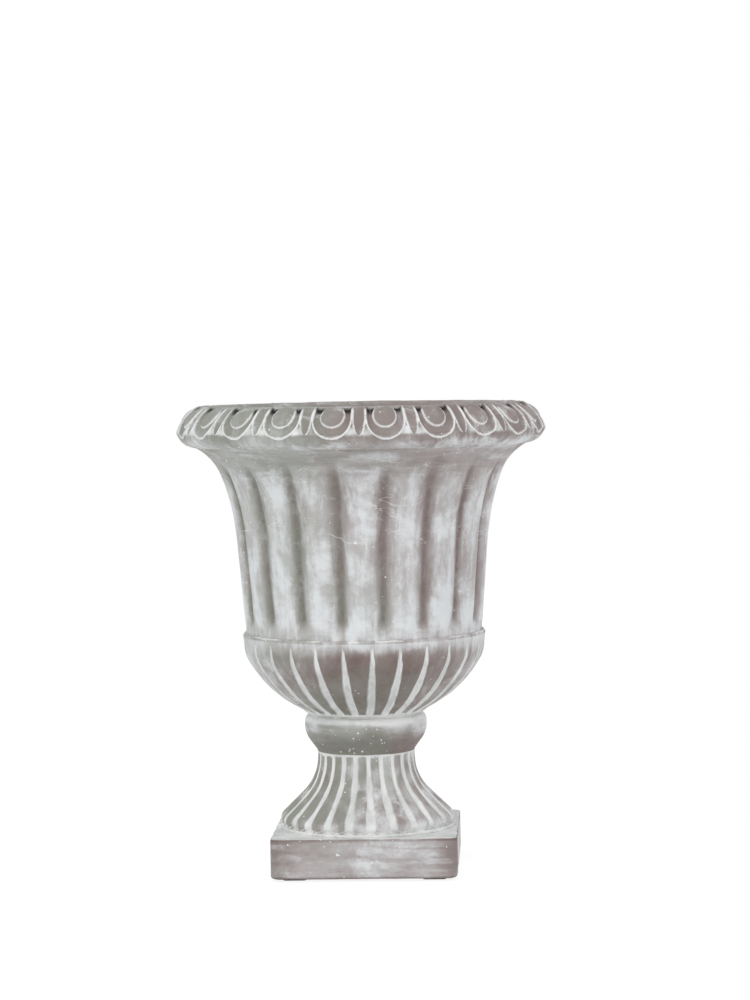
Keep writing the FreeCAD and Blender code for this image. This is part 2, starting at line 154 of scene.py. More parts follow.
class Casting:
    """A closed line of (zone, radius, height) turned into a mesh whose rows can be carved."""

    def __init__(self, line, sectors, steps):
        self.line = line
        self.mesh = bmesh.new()
        self.mesh.verts.layers.int.new("row")
        for name in ATTRIBUTES:
            self.mesh.verts.layers.float.new(name)
        self.row = self.mesh.verts.layers.int["row"]
        self.masks = {name: self.mesh.verts.layers.float[name] for name in ATTRIBUTES}
        verts = []
        for k, (_, r, z) in enumerate(line):
            vert = self.mesh.verts.new((0, -r, z))
            vert[self.row] = k
            verts.append(vert)
        edges = [self.mesh.edges.new((verts[k - 1], verts[k])) for k in range(len(verts))]
        sector = 2 * math.pi / sectors
        bmesh.ops.spin(self.mesh, geom=verts + edges, axis=UP, angle=sector, steps=steps)
        whole = self.mesh.verts[:] + self.mesh.edges[:] + self.mesh.faces[:]
        bmesh.ops.spin(self.mesh, geom=whole, axis=UP, angle=sector * (sectors - 1), steps=sectors - 1,
                       use_duplicate=True)
        bmesh.ops.remove_doubles(self.mesh, verts=self.mesh.verts, dist=SEAM)
        bmesh.ops.recalc_face_normals(self.mesh, faces=self.mesh.faces)

    def normal(self, k):
        """Outward direction of a row, in radius and height."""
        (_, r0, z0), (_, r1, z1) = self.line[k - 1], self.line[(k + 1) % len(self.line)]
        length = math.hypot(r1 - r0, z1 - z0)
        return (z1 - z0) / length, (r0 - r1) / length

    def carve(self, tool):
        """Moves each vertex in by what the tool says for (zone, radius, height, angle) and marks it."""
        normals = [self.normal(k) for k in range(len(self.line))]
        for vert in self.mesh.verts:
            zone, r, z = self.line[vert[self.row]]
            angle = math.degrees(math.atan2(vert.co.x, -vert.co.y))
            depth, marks = tool(zone, r, z, angle, vert.co)
            out_r, out_z = normals[vert[self.row]]
            away = Vector((vert.co.x, vert.co.y, 0)).normalized()
            vert.co -= depth * (away * out_r + UP * out_z)
            for name, value in marks.items():
                vert[self.masks[name]] = value

    def finish(self, name, smooth_angle=50.0):
        return finish_mesh(self.mesh, name, smooth_angle)


def finish_mesh(mesh_in_work, name, smooth_angle=35.0):
    """Scene object from a bmesh, shaded smooth but for its sharp edges."""
    mesh = bpy.data.meshes.new(name)
    mesh_in_work.to_mesh(mesh)
    mesh_in_work.free()
    mesh.shade_smooth()
    mesh.set_sharp_from_angle(angle=math.radians(smooth_angle))
    piece = bpy.data.objects.new(name, mesh)
    bpy.context.scene.collection.objects.link(piece)
    return piece


def fit_piece(piece, material, slot, *nodes):
    """Gives a piece its finish and puts it in the place of the nodes that it stands for."""
    piece.data.materials.clear()
    piece.data.materials.append(bpy.data.materials[material])
    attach(piece, ROOT)
    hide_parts(*nodes)


def unevenness(place, size, amount):
    """Slow waver of a hand-made surface, its waves of about the size and up to the amount."""
    return amount * noise.noise(place / size)


# ---------------------------------------------------------------- shaders
class Value:
    """A socket on its way through a shader, so that sums on it are written as sums."""

    def __init__(self, shader, socket):
        self.shader = shader
        self.socket = socket

    def _sum(self, operation, *terms):
        return self.shader.node("ShaderNodeMath", {"operation": operation}, dict(enumerate(terms)))

    def __add__(self, other):
        return self._sum("ADD", self, other)

    def __sub__(self, other):
        return self._sum("SUBTRACT", self, other)

    def __rsub__(self, other):
        return self._sum("SUBTRACT", other, self)

    def __mul__(self, other):
        return self._sum("MULTIPLY", self, other)

    def __truediv__(self, other):
        return self._sum("DIVIDE", self, other)

    __radd__ = __add__
    __rmul__ = __mul__

    def step(self, low, high):
        """Soft step from 0 at low to 1 at high; low may be the larger one."""
        return self.shader.node("ShaderNodeMapRange", {"interpolation_type": "SMOOTHSTEP"},
                                {"Value": self, "From Min": low, "From Max": high})

    def clamped(self):
        return self.shader.node("ShaderNodeClamp", {}, {"Value": self})


class Shader:
    """The node tree of a new material or world, with one method that adds any node."""

    def __init__(self, owner):
        self.owner = owner
        owner.use_nodes = True
        self.tree = owner.node_tree
        self.tree.nodes.clear()

    def node(self, kind, settings, inputs, output=0):
        made = self.tree.nodes.new(kind)
        for key, value in settings.items():
            setattr(made, key, value)
        for key, value in inputs.items():
            if isinstance(value, Value):
                self.tree.links.new(value.socket, made.inputs[key])
            else:
                made.inputs[key].default_value = value
        return Value(self, made.outputs[output])

    def place(self):
        return self.node("ShaderNodeTexCoord", {}, {}, "Object")

    def stretched(self, place, scale):
        return self.node("ShaderNodeMapping", {}, {"Vector": place, "Scale": scale})

    def attribute(self, name):
        return self.node("ShaderNodeAttribute", {"attribute_name": name}, {}, "Fac")

    def cloud(self, place, scale, detail=4.0, roughness=0.55, distortion=0.0):
        """Noise from 0 to 1, with so many blots to a metre."""
        return self.node("ShaderNodeTexNoise", {}, {
            "Vector": place, "Scale": scale, "Detail": detail, "Roughness": roughness,
            "Distortion": distortion})

    def dots(self, place, scale, radius, share):
        """Round dots, one at most in each cell, of varied size and in a share of the cells."""
        settings = {"feature": "F1"}
        inputs = {"Vector": place, "Scale": scale, "Randomness": 1.0}
        distance = self.node("ShaderNodeTexVoronoi", settings, inputs, "Distance")
        tone = self.node("ShaderNodeTexVoronoi", settings, inputs, "Color")
        size = self.node("ShaderNodeSeparateColor", {}, {"Color": tone}, 0)
        chosen = self.node("ShaderNodeSeparateColor", {}, {"Color": tone}, 1)
        wide = (0.35 + 0.65 * size) * radius * scale
        return (distance / wide).step(1.0, 0.7) * chosen.step(share + 0.01, share - 0.01)

    def scratch(self, place, scale):
        """Thin broken lines that wander over the surface."""
        line = self.cloud(place, scale, 1.5, 0.5, 0.6) - 0.5
        line = self.node("ShaderNodeMath", {"operation": "ABSOLUTE"}, {0: line})
        return line.step(0.012, 0.003) * self.cloud(place, scale * 0.8, 2.0).step(0.53, 0.62)

    def mix(self, factor, a, b):
        """Colour a where the factor is 0 and b where it is 1."""
        settings = {"data_type": "RGBA", "clamp_factor": True}
        a, b = [c if isinstance(c, Value) else (*c, 1.0) for c in (a, b)]
        return self.node("ShaderNodeMix", settings, {0: factor, 6: a, 7: b}, 2)

    def bump(self, height, distance, strength=1.0):
        inputs = {"Height": height, "Distance": distance, "Strength": strength}
        return self.node("ShaderNodeBump", {}, inputs)

    def rays(self, *kinds):
        """For each kind, such as Camera, a value that is 1 for its rays and 0 for all others."""
        return [self.node("ShaderNodeLightPath", {}, {}, f"Is {kind} Ray") for kind in kinds]

    def finish(self, **inputs):
        inputs = {name.replace("_", " "): value for name, value in inputs.items()}
        self.end(self.node("ShaderNodeBsdfPrincipled", {}, inputs))

    def end(self, surface, kind="ShaderNodeOutputMaterial"):
        out = self.tree.nodes.new(kind)
        self.tree.links.new(surface.socket, out.inputs["Surface"])


def colour(red, green, blue, name, description):
    return bpy.props.FloatVectorProperty(name=name, description=description, subtype="COLOR", size=3,
                                         min=0.0, max=1.0, default=linear(red, green, blue))


def measure(value, name, description):
    return bpy.props.FloatProperty(name=name, description=description, default=value * MM,
                                   subtype="DISTANCE", unit="LENGTH", precision=4)


def count(value, name, description):
    return bpy.props.IntProperty(name=name, description=description, default=value, min=3)


# ---------------------------------------------------------------- settings
class UrnFinishSettings(bpy.types.PropertyGroup):
    olive: colour(158, 159, 149, "Olive grey", "Bare cement on the cool side")
    mauve: colour(156, 143, 139, "Brown mauve", "Bare cement on the warm side")
    # Dark olive and dark mauve also stand for painted shade in valleys, recesses and under edges
    dark: colour(116, 114, 102, "Dark olive", "Unpainted hollows on the cool side")
    warm_dark: colour(122, 102, 97, "Dark mauve", "Unpainted hollows on the warm side")
    # Painted shade in the rim's deepest corners; also the colour of the pinholes
    pit_shade: colour(34, 31, 28, "Pit", "Deep corners that no paint reached")
    wash: colour(196, 197, 192, "Wash", "Thin whitewash on the cool side")
    warm_wash: colour(196, 189, 188, "Warm wash", "Thin whitewash on the warm side")
    pale: colour(240, 242, 243, "Pale wash", "Cloudy thicker whitewash")
    thin_white: colour(224, 226, 223, "Thin white", "Rubbed paint in the grooves")
    white: colour(250, 250, 248, "White", "Paint left in the grooves and on the spatters")


class UrnBowlSettings(bpy.types.PropertyGroup):
    lobe_count: count(18, "Lobes", "Wide convex lobes round the bell-shaped wall")
    lobe_depth: measure(4.4, "Lobe depth", "How far the valleys between the lobes lie in")
    gadroon_count: count(27, "Gadroons", "Panels round the cup")
    gadroon_depth: measure(2.4, "Gadroon depth", "Depth of the grooves between the panels")
    egg_count: count(22, "Eggs", "Eggs round the rim")
    egg_height: measure(3.4, "Egg height", "How far an egg stands over the floor round it")
    wall: measure(15.0, "Wall", "Thickness of the wall at the crest of a lobe")


class UrnPedestalSettings(bpy.types.PropertyGroup):
    reed_count: count(24, "Reeds", "Reeds round the foot")
    reed_depth: bpy.props.FloatProperty(name="Reed depth", default=0.15, min=0.0, max=0.4,
                                        description="Depth of a groove as a share of the reed's width")
    corner: measure(6.5, "Plinth corner", "Radius of the plinth's upright edges")
    wear: measure(0.5, "Wear", "How uneven the plinth's edges are")


class UrnStageSettings(bpy.types.PropertyGroup):
    distance: bpy.props.FloatProperty(name="Distance", default=2.557, unit="LENGTH",
                                      description="From the camera to the urn's axis")
    azimuth: bpy.props.FloatProperty(name="Azimuth", default=math.radians(2.9), subtype="ANGLE",
                                     description="Camera's place round the urn, from the front towards +X")
    light: bpy.props.FloatProperty(name="Light", default=1.0, min=0.0,
                                   description="Level of the studio light")


# ---------------------------------------------------------------- finishes
class URN_OT_finishes(bpy.types.Operator):
    """Mixes the cement, mortar, steel and rubber"""

    bl_idname = "urn.finishes"
    bl_label = "Finishes"

    def execute(self, context):
        settings = context.scene.urn_finish
        self.cement(settings)
        self.mortar(settings)
        self.steel()
        self.rubber()
        return {"FINISHED"}

    def cement(self, settings):
        s = Shader(bpy.data.materials.new("whitewashed_cement"))
        place = s.place()
        side, height = [s.node("ShaderNodeSeparateXYZ", {}, {"Vector": place}, axis) for axis in (0, 2)]
        groove, shade_and_bare, rib_and_highlight, pit_shade, wash, level, speckled = [s.attribute(name) for name in ATTRIBUTES]

        # Blots, grain, patches and brush strokes, which run upright or lie level
        broad = s.cloud(place, 11.0, 3.0)
        fine = s.cloud(place, 190.0, 6.0, 0.65)
        patch = s.cloud(place, 34.0, 6.0, 0.62, 0.7)
        upright = s.cloud(s.stretched(place, (1.0, 1.0, 0.12)), 120.0, 5.0, 0.6, 0.4)
        lying = s.cloud(s.stretched(place, (0.13, 0.13, 1.0)), 130.0, 5.0, 0.6, 0.4)
        strokes = upright + (lying - upright) * level

        # Bare cement, cool on the left and warm on the right, under a cloudy whitewash with stains
        tint = (side * 4.5 + (broad - 0.5) * 2.2 + height.step(0.06, 0.03) * 0.5).step(-0.5, 0.4)
        bare = s.mix(tint, settings.olive, settings.mauve)
        washed = s.mix(tint, settings.wash, settings.warm_wash)
        # The dark colours serve stains and barer cement, and also painted shade
        hollow = s.mix(tint, settings.dark, settings.warm_dark)

        cover = (patch * 0.8 + strokes * 0.9 + fine * 0.4 + wash * 0.5).step(0.75, 1.4)
        body = s.mix(cover, bare, washed)
        clouds = s.cloud(place, 21.0, 7.0, 0.74, 0.4) + wash * 0.19 + (strokes - 0.5) * 0.5
        body = s.mix(clouds.step(0.49, 0.79) * 0.95, body, settings.pale)
        stains = (s.cloud(place, 46.0, 5.0, 0.7) - wash * 0.1).step(0.6, 0.74)
        body = s.mix(stains * 0.45, body, hollow)
        # Painted shade in valleys, recesses and under edges, with barer cement on the cup panels
        body = s.mix((shade_and_bare * (0.75 + (fine - 0.5) * 1.2)).clamped(), body, hollow)

        # Hair scratches, mostly on the upper wall
        bent = s.stretched(place, (0.3, 0.3, 1.0))
        hairs = s.scratch(bent, 55.0) + s.scratch(bent, 100.0) + s.scratch(place, 60.0) * 0.5
        hairs = hairs.clamped() * (0.05 + 0.4 * height.step(0.25, 0.31)) * wash.step(-0.45, 0.0)
        body = s.mix(hairs, body, settings.white)

        # Paint in the grooves, painted shade in the deep pits, rubbed ribs with painted highlights on some
        # groove edges, spatter and pinholes
        worn = (fine - 0.5) * 0.5 + (strokes - 0.5) * 1.0
        paint = s.mix((patch + (strokes - 0.5) * 0.6).step(0.3, 0.65), settings.thin_white, settings.white)
        body = s.mix((groove + worn * groove).step(0.1, 0.9), body, paint)
        body = s.mix(pit_shade, body, settings.pit_shade)
        body = s.mix((rib_and_highlight + worn * rib_and_highlight).step(0.2, 1.0), body, settings.white)
        crowd = s.cloud(place, 26.0, 3.0).step(0.5, 0.68)
        spatter = (s.dots(place, 100.0, 1.7 * MM, 0.07 + crowd * 0.16 + speckled * 0.8)
                   + s.dots(place, 250.0, 1.0 * MM, 0.04 + crowd * 0.3 + speckled)).clamped()
        body = s.mix(spatter, body, settings.white)
        holes = s.dots(place, 60.0, 1.2 * MM, 0.03)
        body = s.mix(holes * 0.75, body, settings.pit_shade)

        rough = 0.62 + 0.22 * (fine - 0.5) - 0.14 * cover
        grain = fine * 0.5 + strokes * 1.0 + patch * 0.8 + spatter * 0.5 - holes * 2.0
        s.finish(Base_Color=body, Roughness=rough, Normal=s.bump(grain, 0.6 * MM, 0.8),
                 Specular_IOR_Level=0.4)

    def mortar(self, settings):
        s = Shader(bpy.data.materials.new("white_mortar"))
        place = s.place()
        fine = s.cloud(place, 260.0, 5.0, 0.7)
        body = s.mix(s.cloud(place, 40.0, 4.0).step(0.35, 0.7), linear(206, 205, 200), settings.white)
        s.finish(Base_Color=body, Roughness=0.75 + 0.2 * fine, Normal=s.bump(fine, 0.5 * MM, 0.7))

    def steel(self):
        s = Shader(bpy.data.materials.new("zinc_steel"))
        place = s.place()
        patch = s.cloud(place, 180.0, 4.0, 0.6)
        spots = s.cloud(place, 700.0, 3.0, 0.6)
        body = s.mix(patch.step(0.35, 0.7), linear(168, 170, 172), linear(196, 198, 200))
        s.finish(Base_Color=body, Metallic=1.0, Roughness=0.32 + 0.25 * patch,
                 Normal=s.bump(spots, 0.05 * MM, 0.5))

    def rubber(self):
        s = Shader(bpy.data.materials.new("black_rubber"))
        grain = s.cloud(s.place(), 900.0, 3.0, 0.6)
        body = s.mix(grain, linear(24, 24, 25), linear(44, 43, 42))
        s.finish(Base_Color=body, Roughness=0.7 + 0.2 * grain, Normal=s.bump(grain, 0.08 * MM, 0.6))


# ---------------------------------------------------------------- bowl
ROD_HOLE = 5.0 * MM
SPIGOT_RADIUS = 23.0 * MM
DRAIN_COUNT = 3
DRAIN_RADIUS = 3.5 * MM
DRAIN_REACH = 17.5 * MM      # from the rod's axis to the drain's
FLOOR_TOP = BED_HIGH.z + 20.0 * MM
CUP_FOOT = (52.2 * MM, BED_HIGH.z)
CUP_LINE = legs_line(CUP_FOOT, 42.0, [(12.0 * MM, 18.0), (8.4 * MM, 0), (103.4 * MM, -30.0),
                                      (30.9 * MM, -30.0)], 1.7 * MM)
CUP_TOP = CUP_LINE[-1]
LEDGE_TOP = CUP_TOP[1] + 10.6 * MM
LEDGE_ROUND = 3.6 * MM
WALL_RUN = 80.8 * MM         # straight part of the bell wall
BAND_FLARE = 0.9 * MM
WALL_START = (CUP_TOP[0] - 1.6 * MM, LEDGE_TOP)
WALL_TAPER = 4.7             # degrees outwards from upright
SWEEP_RADIUS, SWEEP_TURN = 205.0 * MM, 16.3
WALL_LINE = legs_line(WALL_START, WALL_TAPER,
                      [(WALL_RUN, 0), (SWEEP_RADIUS, SWEEP_TURN), (43.0 * MM, 44.5)], 3.2 * MM)
WALL_END = WALL_LINE[-1]
RIM_FOOT = beside(WALL_END, 0.6, 0)
RIM_WIDEST = beside(WALL_END, 14.8, 12.8)
RIM_CREST = beside(RIM_WIDEST, -18.4, 22.0)
RIM_TOP = BOWL_HIGH.z
RIM_UNDER_BULGE, RIM_FACE_BULGE = 3.0 * MM, 2.9 * MM
# Where the patterns start, in degrees from the front towards +X
LOBE_CENTRE, GADROON_GROOVE, DART_CENTRE, REED_GROOVE = 2.5, 6.3, 2.3, 4.8


def hollow_line(wall):
    """Inside of the bowl from the rod hole up to the mouth's edge."""
    corner = (47.0 * MM, WALL_TAPER - 90.0)      # round from the floor into the wall
    reach = legs_line((0, 0), 90.0, [corner], 1.0)[-1]
    floor_radius = WALL_START[0] - wall - reach[0]
    run = WALL_RUN - (FLOOR_TOP + reach[1] - LEDGE_TOP)
    legs = [corner, (run, 0), (SWEEP_RADIUS + wall, SWEEP_TURN), (110.0 * MM, 15.0),
            (40.0 * MM, -WALL_TAPER - SWEEP_TURN - 15.0)]
    inside = legs_line((floor_radius, FLOOR_TOP), 90.0, legs, 7 * MM)
    return straight((ROD_HOLE, FLOOR_TOP), inside[0], 6 * MM)[:-1] + inside


def zoned(zone, points):
    return [(zone, r, z) for r, z in points]


class URN_OT_bowl(bpy.types.Operator):
    """Casts the bowl: gadrooned cup, ledge, lobed bell wall and hollow"""

    bl_idname = "urn.bowl"
    bl_label = "Bowl"

    def execute(self, context):
        settings = context.scene.urn_bowl
        casting = Casting(self.outline(settings), sectors=9, steps=60)
        casting.carve(lambda *where: self.tool(settings, *where))
        bowl = casting.finish("bowl_body")
        self.drill(bowl)
        fit_piece(bowl, "whitewashed_cement", "cement", "bowl")
        return {"FINISHED"}

    def outline(self, settings):
        spigot = [(ROD_HOLE, BOWL_LOW.z), (SPIGOT_RADIUS, BOWL_LOW.z), (SPIGOT_RADIUS, BED_HIGH.z)]
        edge = CUP_TOP[0] + BAND_FLARE
        band = straight(CUP_TOP, (edge, LEDGE_TOP - LEDGE_ROUND), 1.1 * MM)
        ledge = legs_line(band[-1], 0.0, [(LEDGE_ROUND, -68.0)], 0.7 * MM)[1:]
        behind_rim = [beside(RIM_WIDEST, -9, -5), beside(RIM_WIDEST, -7, 4),
                      beside(RIM_CREST, -0.5, -7), beside(RIM_CREST, -1.5, -1.6)]
        mouth = hollow_line(settings.wall)
        outer, inner = (RIM_CREST[0], RIM_TOP), (mouth[-1][0], RIM_TOP)
        crest = [beside(outer, -1.9, -0.9), beside(outer, -2.6, -0.3), beside(outer, -3.8, 0),
                 beside(inner, 5.6, 0), beside(inner, 3.4, -0.5), beside(inner, 1.2, -2.0),
                 beside(inner, 0.2, -4.6)]
        return (zoned("hidden", spigot) + zoned("cup", CUP_LINE + band) + zoned("band", ledge)
                + zoned("wall", WALL_LINE) + zoned("hidden", behind_rim) + zoned("crest", crest)
                + zoned("inside", mouth[::-1]))

    def tool(self, settings, zone, r, z, angle, place):
        if zone == "cup":
            return self.gadroon(settings, r, z, angle, place)
        if zone == "band":
            waver = unevenness(place, 14 * MM, 0.3 * MM)
            off_line = abs(z + unevenness(place, 12 * MM, 0.7 * MM) - LEDGE_TOP + 1.2 * MM)
            line = smooth(off_line, 1.0 * MM, 0.2 * MM)
            broken = smooth(noise.noise(place / (24 * MM)), -0.35, 0.05)
            return waver, {"rib_and_highlight": 0.85 * line * broken, "wash": 0.2}
        if zone == "wall":
            return self.lobe(settings, z, angle, place)
        if zone == "crest":
            return unevenness(place, 25 * MM, 0.5 * MM), {"wash": -0.2, "level": 1.0}
        if zone == "inside":
            return unevenness(place, 30 * MM, 0.5 * MM), {"shade_and_bare": 0.45, "wash": -0.5, "level": 1.0}
        return 0.0, {}

    def gadroon(self, settings, r, z, angle, place):
        """A panel and the groove beside it, which runs to a point under the ledge, with a painted highlight
        along one edge of the groove.
        """
        pitch = 2 * math.pi * r / settings.gadroon_count
        share = across(angle, settings.gadroon_count, GADROON_GROOVE)
        side = share * pitch + unevenness(place, 26 * MM, 0.7 * MM)
        tip = LEDGE_TOP - LEDGE_ROUND - 0.6 * MM
        opened = clamp((tip - z) / (38 * MM)) ** 0.65
        foot = smooth(z, BED_HIGH.z + 3.0 * MM, BED_HIGH.z + 0.6 * MM)
        half = min(3.3 * MM, 0.26 * pitch) * opened + 0.05 * MM
        cut = clamp(1 - abs(side) / half)
        panel = (2 * share) ** 2 * 0.7 * MM * opened
        depth = panel + settings.gadroon_depth * opened * cut ** 0.8
        crisp = smooth(side, half + 0.9 * MM, half - 0.7 * MM)
        blurred = smooth(side, -half - 1.6 * MM * opened, -half * 0.3)
        groove = crisp * blurred * clamp(opened * 4)
        height = z + unevenness(place, 10 * MM, 3 * MM)
        bare = smooth(height, CUP_TOP[1] + 8 * MM, CUP_TOP[1] - 6 * MM)
        bare *= 0.58 + 0.42 * math.cos(math.radians(2 * angle - 10))
        # Painted highlight along one edge of each groove
        edge = smooth(abs(side - half + 0.4 * MM), 1.4 * MM, 0.2 * MM) * clamp(opened * 3)
        edge *= smooth(noise.noise(place / (18 * MM)), -0.4, 0.2)
        marks = {"groove": max(groove, 0.9 * foot), "wash": 0.8 - 1.3 * bare, "rib_and_highlight": 0.9 * edge,
                 "shade_and_bare": bare * (1 - groove) * (0.72 + unevenness(place, 24 * MM, 0.5))}
        return depth * (1 - foot) + unevenness(place, 9 * MM, 0.15 * MM), marks

    def lobe(self, settings, z, angle, place):
        """A wide convex lobe, with painted shade in its valleys that reaches further up its right flank than
        up its left one, and painted highlights along its crest and near its lower end.
        """
        signed = 2 * across(angle, settings.lobe_count, LOBE_CENTRE)
        share = clamp(abs(signed) + unevenness(place, 40 * MM, 0.035))
        rise = clamp((z - LEDGE_TOP - 2.5 * MM) / (16 * MM))
        half = math.sqrt(max(0.0, 1 - (1 - rise) ** 2)) + 0.001
        body = (share / (0.93 * half)) ** 3.0
        ground = lerp(0.15, 1.0, smooth(rise, 0.1, 1.0))
        height = z + unevenness(place, 25 * MM, 5 * MM)
        top = smooth(height, WALL_END[1] - 2 * MM, WALL_END[1] - 34 * MM)
        cut = max(0.0, soft_min(body, ground, 0.25)) * top
        depth = settings.lobe_depth * cut + unevenness(place, 18 * MM, 0.3 * MM)
        # Painted shade in the valleys between the lobes, wider on the right flank
        inner = (0.56 if signed > 0 else 0.74) + unevenness(place, 20 * MM, 0.14)
        shade_and_bare = smooth(share, inner, 0.98) * smooth(rise, 0.15, 0.95) * top
        # Painted highlight along the lobe's crest, stronger towards its lower end
        end = smooth(z, LEDGE_TOP + 48 * MM, LEDGE_TOP + 12 * MM)
        crest_highlight = smooth(share, 0.9, 0.2) * (0.75 + 0.7 * end)
        crest_highlight = lerp(0.6, crest_highlight, smooth(rise, 0.0, 0.7))
        height = z + unevenness(place, 20 * MM, 6 * MM)
        under = smooth(height, WALL_END[1] - 36 * MM, WALL_END[1] - 10 * MM)
        # Painted highlight at the lobe's lower end
        glow = smooth(share, 0.75, 0.1) * smooth(abs(z - LEDGE_TOP - 13 * MM), 11 * MM, 2 * MM)
        marks = {"shade_and_bare": 0.95 * shade_and_bare, "wash": lerp(crest_highlight, 0.15, under), "rib_and_highlight": 0.45 * glow,
                 "level": under}
        return depth, marks

    def drill(self, bowl):
        """Drain holes through the floor, round the rod, the first one at the back."""
        cutter = bmesh.new()
        for k in range(DRAIN_COUNT):
            turn = Matrix.Rotation(math.radians(90 + 360 / DRAIN_COUNT * k), 4, "Z")
            centre = turn @ Vector((DRAIN_REACH, 0, (BOWL_LOW.z + FLOOR_TOP) / 2))
            bmesh.ops.create_cone(cutter, cap_ends=True, segments=32, radius1=DRAIN_RADIUS,
                                  radius2=DRAIN_RADIUS, depth=60 * MM, matrix=Matrix.Translation(centre))
        drill = finish_mesh(cutter, "drill")
        cut = bowl.modifiers.new("drains", "BOOLEAN")
        cut.object = drill
        cut.operation = "DIFFERENCE"
        cut.solver = "MANIFOLD"
        with bpy.context.temp_override(object=bowl, active_object=bowl):
            bpy.ops.object.modifier_apply(modifier=cut.name)
        bpy.data.objects.remove(drill)


class URN_OT_rim(bpy.types.Operator):
    """Carves the egg-and-dart rim"""

    bl_idname = "urn.rim"
    bl_label = "Egg-and-dart rim"

    def execute(self, context):
        settings = context.scene.urn_bowl
        under = bulged(RIM_FOOT, RIM_WIDEST, RIM_UNDER_BULGE, 0.8 * MM)
        face = bulged(RIM_WIDEST, RIM_CREST, RIM_FACE_BULGE, 0.62 * MM)
        back = [beside(RIM_CREST, -2.2, -0.1), beside(RIM_CREST, -2.6, -4), beside(RIM_WIDEST, -12, 0),
                beside(RIM_FOOT, -1, 3)]
        outline = zoned("under", [RIM_FOOT] + under) + zoned("face", face) + zoned("back", back)
        casting = Casting(outline, sectors=settings.egg_count, steps=54)
        casting.carve(lambda *where: self.tool(settings, *where))
        rim = casting.finish("bowl_rim", 70.0)
        fit_piece(rim, "whitewashed_cement", "cement", "bowl")
        return {"FINISHED"}

    def tool(self, settings, zone, r, z, angle, place):
        if zone == "back":
            return 0.0, {}
        waver = unevenness(place, 22 * MM, 0.4 * MM)
        drop = (RIM_CREST[1] - z) / MM + unevenness(place, 30 * MM, 0.8)
        pitch = math.pi * (RIM_WIDEST[0] + RIM_CREST[0]) / MM / settings.egg_count
        side = pitch * across(angle, settings.egg_count, DART_CENTRE + 180.0 / settings.egg_count)
        side += unevenness(place, 17 * MM, 0.9)
        relief, marks = egg_and_dart(side, drop, pitch, settings.egg_height / MM)
        marks["wash"] = lerp(-0.25, 0.4, smooth(drop, 24.0, 32.0)) + unevenness(place, 28 * MM, 0.6)
        marks["groove"] *= 0.7 + unevenness(place, 14 * MM, 0.9)
        return waver - relief * MM, marks


# Egg and dart on the rim's face, in millimetres; a drop is measured from the crest
EGG_RADIUS, EGG_DROP = 9.6, 6.1
FRAME_HALF, FRAME_DROP, FRAME_LENGTH = 15.8, 8.0, 17.4       # straight down to the drop, then half an oval
DART_HALF, DART_TIP = 4.9, 22.8
CHANNEL, SPANDREL, DART_HOLLOW = 2.2, 1.1, 0.9               # how deep they lie


def egg_and_dart(side, drop, pitch, egg_height):
    """Relief in millimetres over the rim's face, and the paint and painted shade on it, at a point of one
    unit.

    side is measured from the egg's centre line and drop from the crest, both in millimetres."""
    egg = math.hypot(side, drop - EGG_DROP) - EGG_RADIUS
    oval = max(0.0, drop - FRAME_DROP) * FRAME_HALF / FRAME_LENGTH
    surround = math.hypot(side, oval) - FRAME_HALF
    dart_side = pitch / 2 - abs(side)
    dart_half = DART_HALF * math.sqrt(clamp(1 - (max(0.0, drop) / DART_TIP) ** 3))
    dart = dart_side - dart_half if drop < DART_TIP else math.hypot(dart_side, drop - DART_TIP)
    between = surround > 0 and dart > 0

    floor = -CHANNEL - 0.9 * smooth(drop, 7.0, 0.0)
    relief = 0.0
    if surround < 0:
        relief = lerp(0.0, floor, smooth(surround, -0.3, -2.2))
    if egg < 0:
        relief = floor + 0.4 + egg_height * math.sqrt(clamp(1 - ((EGG_RADIUS + egg) / EGG_RADIUS) ** 2))
    if between:
        spandrel = smooth(surround, 0.2, 1.4) * smooth(dart, 0.0, 1.0) * smooth(drop, 27.0, 23.0)
        relief = -SPANDREL * spandrel
    if dart < 0:
        relief = 0.1 - DART_HOLLOW * smooth(dart, 0.0, -3.2)

    frame_rib = smooth(abs(surround), 1.25, 0.3)
    egg_rib = smooth(abs(egg), 0.95, 0.25)
    dart_rib = smooth(abs(dart), 1.0, 0.25) * smooth(drop, 25.0, 22.0)
    relief = max(relief, lerp(relief, 0.55, frame_rib), lerp(relief, 0.2, dart_rib))
    relief = max(relief, lerp(relief, -1.0, egg_rib))

    near = [smooth(abs(surround), 2.6, 0.4), smooth(abs(egg), 2.4, 0.4), smooth(abs(dart), 2.4, 0.4)]
    halo = 0.45 * max(near) * smooth(drop, 29.0, 26.0)
    rib_and_highlight = max(frame_rib, egg_rib * 0.9, dart_rib * 0.9, halo) * (1 - 0.6 * smooth(drop, 3.5, 0.0))
    pool = 0.0
    if between and surround > 0.3:
        pool = smooth(drop, 12.0, 19.0) * smooth(drop, 26.0, 20.0)
    # Painted shade in the channels' deep top corners and in the dart hollows
    channel = smooth(egg, 0.3, 1.1) * smooth(surround, -0.5, -1.3)
    if surround < 0:
        pit_shade = smooth(drop, 5.5, 1.0) * channel
        shade = 0.55 * channel * smooth(drop, 20.0, 8.0)
    else:
        pit_shade = smooth(drop, 5.5, 1.0) * 0.8 * smooth(dart, 0.3, 0.9)
        shade = 0.35 * smooth(dart, 0.0, -2.0)
    return relief, {"rib_and_highlight": rib_and_highlight, "groove": pool, "pit_shade": pit_shade, "shade_and_bare": shade}


